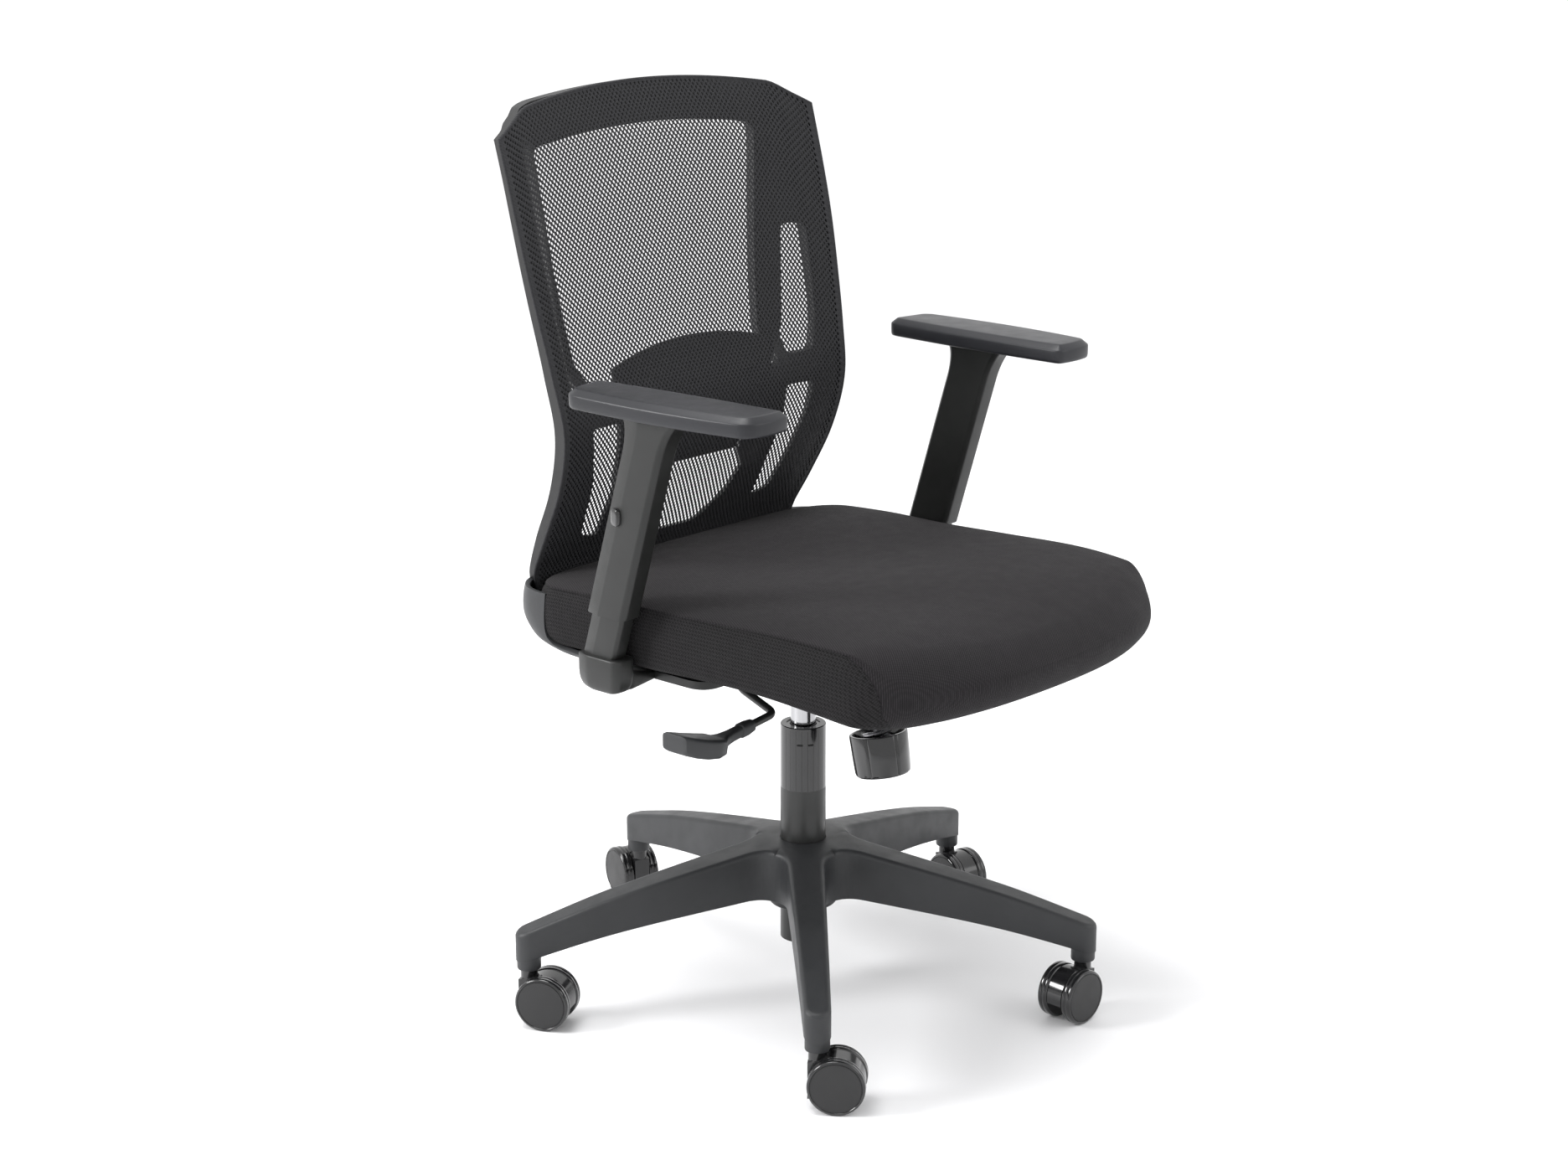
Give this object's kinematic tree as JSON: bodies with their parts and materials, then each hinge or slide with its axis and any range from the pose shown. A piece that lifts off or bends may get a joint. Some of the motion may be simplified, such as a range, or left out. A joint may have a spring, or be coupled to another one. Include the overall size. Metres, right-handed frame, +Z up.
{
  "type": "swivel office chair",
  "caption": "Swivel office chair with a mesh back, upholstered seat, height-adjustable arms, a gas lift, a tilt mechanism and a star base on twin-wheel casters.",
  "frame": {"origin": "on the floor, under the middle of the chair's bounding box at rest; the column's axis stands 17.3 mm from it, at x = -0.0173, y = 0", "axes": "+Z up, the sitter faces -Y, the sitter's left is +X"},
  "size_m": [0.6348, 0.7291, 0.985],
  "materials": {
    "nylon": "matte moulded nylon",
    "satin_plastic": "satin",
    "gloss_plastic": "gloss",
    "wheel": "gloss",
    "fabric": "woven",
    "mesh": "knitted mesh with open holes",
    "painted_steel": "satin black",
    "steel": "plain",
    "chrome": "polished"
  },
  "bodies": {
    "base": {"five_star_base": "nylon", "column_tube": "painted_steel", "guide_bush": "gloss_plastic", "thrust_bearing": "steel"},
    "rod": {"piston_rod": "steel", "retaining_clip": "steel"},
    "lift": {"pressure_tube": "chrome", "mechanism_housing": "painted_steel", "pivot_pin": "steel"},
    "valve": {"release_pin": "steel"},
    "lever_bush": {"lever_cam": "steel"},
    "lever": {"lever_rod": "painted_steel", "lever_paddle": "nylon"},
    "seat": {"seat_plate": "painted_steel", "seat_pan": "nylon", "seat_cushion": "fabric", "back_bracket": "nylon", "back_bolt_left": "steel", "back_bolt_right": "steel", "back_frame": "nylon", "back_mesh": "mesh", "tension_bolt": "steel", "tension_spring": "steel", "arm_bracket_left": "nylon", "arm_bracket_right": "nylon", "arm_post_left": "nylon", "arm_post_right": "nylon"},
    "knob": {"tension_knob": "gloss_plastic"},
    "lumbar": {"lumbar_pad": "nylon"},
    "arm_left": {"arm_sleeve_left": "nylon", "arm_pad_left": "satin_plastic"},
    "arm_right": {"arm_sleeve_right": "nylon", "arm_pad_right": "satin_plastic"},
    "button_left": {"arm_button_left": "gloss_plastic"},
    "button_right": {"arm_button_right": "gloss_plastic"},
    "caster_1_fork": {"caster_1_hood": "nylon", "caster_1_stem": "steel", "caster_1_axle": "steel"},
    "caster_1_roller_left": {"caster_1_wheel_left": "wheel"},
    "caster_1_roller_right": {"caster_1_wheel_right": "wheel"},
    "caster_2_fork": {"caster_2_hood": "nylon", "caster_2_stem": "steel", "caster_2_axle": "steel"},
    "caster_2_roller_left": {"caster_2_wheel_left": "wheel"},
    "caster_2_roller_right": {"caster_2_wheel_right": "wheel"},
    "caster_3_fork": {"caster_3_hood": "nylon", "caster_3_stem": "steel", "caster_3_axle": "steel"},
    "caster_3_roller_left": {"caster_3_wheel_left": "wheel"},
    "caster_3_roller_right": {"caster_3_wheel_right": "wheel"},
    "caster_4_fork": {"caster_4_hood": "nylon", "caster_4_stem": "steel", "caster_4_axle": "steel"},
    "caster_4_roller_left": {"caster_4_wheel_left": "wheel"},
    "caster_4_roller_right": {"caster_4_wheel_right": "wheel"},
    "caster_5_fork": {"caster_5_hood": "nylon", "caster_5_stem": "steel", "caster_5_axle": "steel"},
    "caster_5_roller_left": {"caster_5_wheel_left": "wheel"},
    "caster_5_roller_right": {"caster_5_wheel_right": "wheel"}
  },
  "joints": [
    {"name": "seat_swivel", "type": "hinge", "parent": "base", "child": "rod", "pos_m": [-0.0173, 0, 0.1], "axis": [0, 0, 1], "continuous": true},
    {"name": "seat_height", "type": "slide", "parent": "rod", "child": "lift", "axis": [0, 0, 1], "range_m": [0, 0.1]},
    {"name": "valve_press", "type": "slide", "parent": "lift", "child": "valve", "axis": [0, 0, -1], "range_m": [0, 0.002], "stiffness_N_per_m": 600},
    {"name": "lever_lift", "type": "hinge", "parent": "lift", "child": "lever_bush", "pos_m": [-0.0173, -0.004, 0.367], "axis": [-1, 0, 0], "range_deg": [0, 12], "stiffness_Nm_per_rad": 2, "springref_deg": -5.73},
    {"name": "lever_pull", "type": "slide", "parent": "lever_bush", "child": "lever", "axis": [-1, 0, 0], "range_m": [0, 0.012]},
    {"name": "seat_tilt", "type": "hinge", "parent": "lift", "child": "seat", "pos_m": [-0.0173, 0.035, 0.378], "axis": [-1, 0, 0], "range_deg": [0, 12], "stiffness_Nm_per_rad": 60, "springref_deg": -34.38, "deforming": ["tension_spring"]},
    {"name": "knob_turn", "type": "hinge", "parent": "seat", "child": "knob", "pos_m": [-0.0173, -0.114, 0.272], "axis": [0, 0.1736, 0.9848], "continuous": true},
    {"name": "lumbar_height", "type": "slide", "parent": "seat", "child": "lumbar", "axis": [0, 0, 1], "range_m": [-0.008, 0.008]},
    {"name": "arm_left_height", "type": "slide", "parent": "seat", "child": "arm_left", "axis": [0, -0.2909, 0.9568], "range_m": [-0.025, 0.03]},
    {"name": "button_left_press", "type": "slide", "parent": "arm_left", "child": "button_left", "axis": [-0.9578, -0.2873, 0], "range_m": [0, 0.0022], "stiffness_N_per_m": 800},
    {"name": "arm_right_height", "type": "slide", "parent": "seat", "child": "arm_right", "axis": [0, -0.2909, 0.9568], "range_m": [-0.025, 0.03]},
    {"name": "button_right_press", "type": "slide", "parent": "arm_right", "child": "button_right", "axis": [0.9578, -0.2873, 0], "range_m": [0, 0.0022], "stiffness_N_per_m": 800},
    {"name": "caster_1_swivel", "type": "hinge", "parent": "base", "child": "caster_1_fork", "pos_m": [-0.24465, -0.21802, 0.06], "axis": [0, 0, 1], "continuous": true},
    {"name": "caster_1_left_spin", "type": "hinge", "parent": "caster_1_fork", "child": "caster_1_roller_left", "pos_m": [-0.23261, -0.23461, 0.03], "axis": [0.809, 0.5878, 0], "continuous": true},
    {"name": "caster_1_right_spin", "type": "hinge", "parent": "caster_1_fork", "child": "caster_1_roller_right", "pos_m": [-0.23261, -0.23461, 0.03], "axis": [0.809, 0.5878, 0], "continuous": true},
    {"name": "caster_2_swivel", "type": "hinge", "parent": "base", "child": "caster_2_fork", "pos_m": [0.1198, -0.2836, 0.06], "axis": [0, 0, 1], "continuous": true},
    {"name": "caster_2_left_spin", "type": "hinge", "parent": "caster_2_fork", "child": "caster_2_roller_left", "pos_m": [0.09931, -0.28288, 0.03], "axis": [-0.0349, -0.9994, 0], "continuous": true},
    {"name": "caster_2_right_spin", "type": "hinge", "parent": "caster_2_fork", "child": "caster_2_roller_right", "pos_m": [0.09931, -0.28288, 0.03], "axis": [-0.0349, -0.9994, 0], "continuous": true},
    {"name": "caster_3_swivel", "type": "hinge", "parent": "base", "child": "caster_3_fork", "pos_m": [0.29479, 0.04275, 0.06], "axis": [0, 0, 1], "continuous": true},
    {"name": "caster_3_left_spin", "type": "hinge", "parent": "caster_3_fork", "child": "caster_3_roller_left", "pos_m": [0.29052, 0.0227, 0.03], "axis": [0.9781, -0.2079, 0], "continuous": true},
    {"name": "caster_3_right_spin", "type": "hinge", "parent": "caster_3_fork", "child": "caster_3_roller_right", "pos_m": [0.29052, 0.0227, 0.03], "axis": [0.9781, -0.2079, 0], "continuous": true},
    {"name": "caster_4_swivel", "type": "hinge", "parent": "base", "child": "caster_4_fork", "pos_m": [0.03848, 0.31002, 0.06], "axis": [0, 0, 1], "continuous": true},
    {"name": "caster_4_left_spin", "type": "hinge", "parent": "caster_4_fork", "child": "caster_4_roller_left", "pos_m": [0.04556, 0.32926, 0.03], "axis": [-0.9385, 0.3453, 0], "continuous": true},
    {"name": "caster_4_right_spin", "type": "hinge", "parent": "caster_4_fork", "child": "caster_4_roller_right", "pos_m": [0.04556, 0.32926, 0.03], "axis": [-0.9385, 0.3453, 0], "continuous": true},
    {"name": "caster_5_swivel", "type": "hinge", "parent": "base", "child": "caster_5_fork", "pos_m": [-0.29491, 0.14885, 0.06], "axis": [0, 0, 1], "continuous": true},
    {"name": "caster_5_left_spin", "type": "hinge", "parent": "caster_5_fork", "child": "caster_5_roller_left", "pos_m": [-0.28612, 0.13034, 0.03], "axis": [0.9033, 0.4289, 0], "continuous": true},
    {"name": "caster_5_right_spin", "type": "hinge", "parent": "caster_5_fork", "child": "caster_5_roller_right", "pos_m": [-0.28612, 0.13034, 0.03], "axis": [0.9033, 0.4289, 0], "continuous": true}
  ],
  "couplings": [
    {"joint": "valve_press", "follows": "lever_lift", "m_per_rad": 0.0078}
  ]
}
